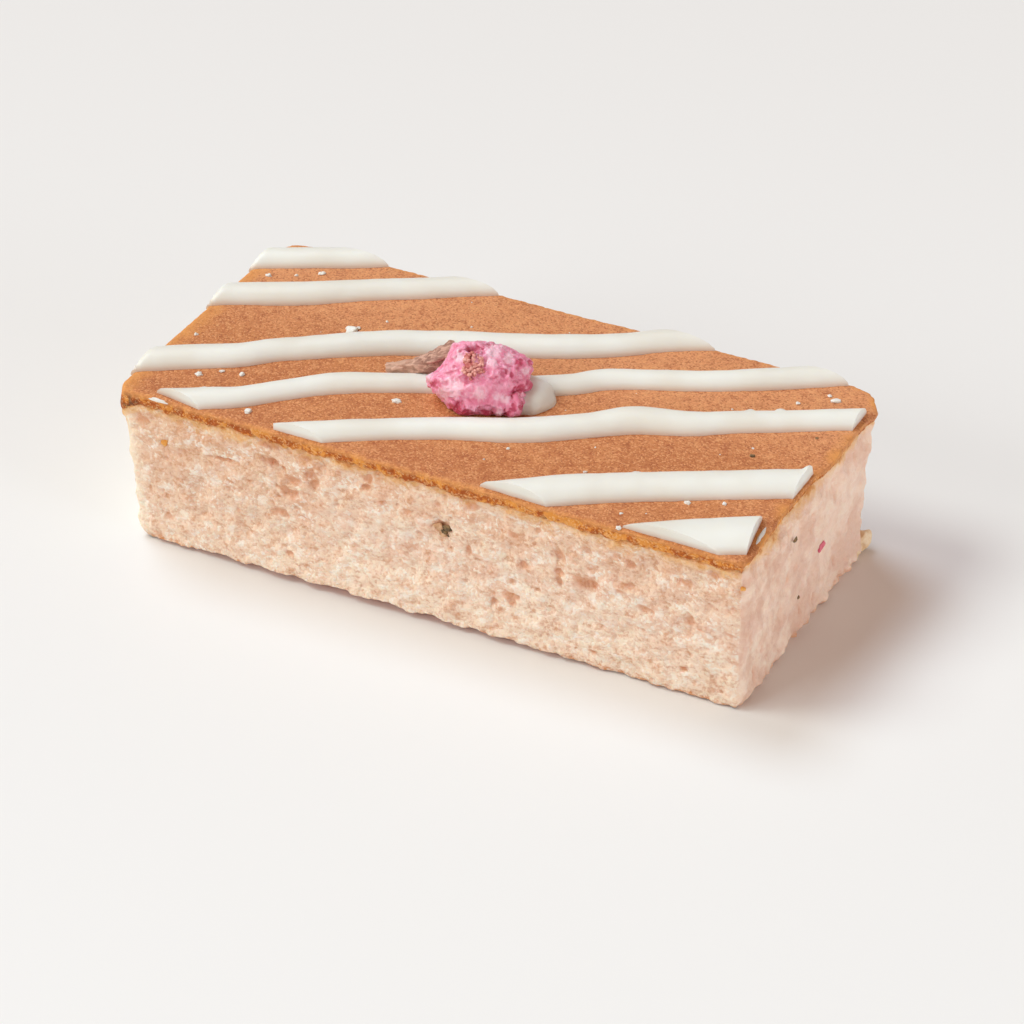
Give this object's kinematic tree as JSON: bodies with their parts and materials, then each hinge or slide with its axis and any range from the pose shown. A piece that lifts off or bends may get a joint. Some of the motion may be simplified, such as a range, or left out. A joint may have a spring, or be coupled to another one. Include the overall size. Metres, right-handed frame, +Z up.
{
  "type": "sakura cheesecake",
  "caption": "Cut bar of pink, open-crumbed cheesecake with a browned top, slanting lines of white chocolate and a salted cherry blossom.",
  "frame": {"origin": "centre of the bar's footprint, on the surface that it stands on", "axes": "+X along the bar, from the baked end to the cut end; +Y from the front cut face to the back; +Z up"},
  "size_m": [0.1028, 0.0498, 0.0344],
  "materials": {
    "crumb": "soft, porous pink cheesecake crumb, matte",
    "crust": "browned baked top with a fine grain, matte",
    "white_chocolate": "set white chocolate, smooth with a soft sheen",
    "petal": "salted cherry blossom petals, crumpled and slightly moist",
    "calyx": "brown, shrivelled calyx and stem, matte"
  },
  "bodies": {
    "root": {"cake": "crumb", "blossom": "petal"}
  },
  "joints": []
}
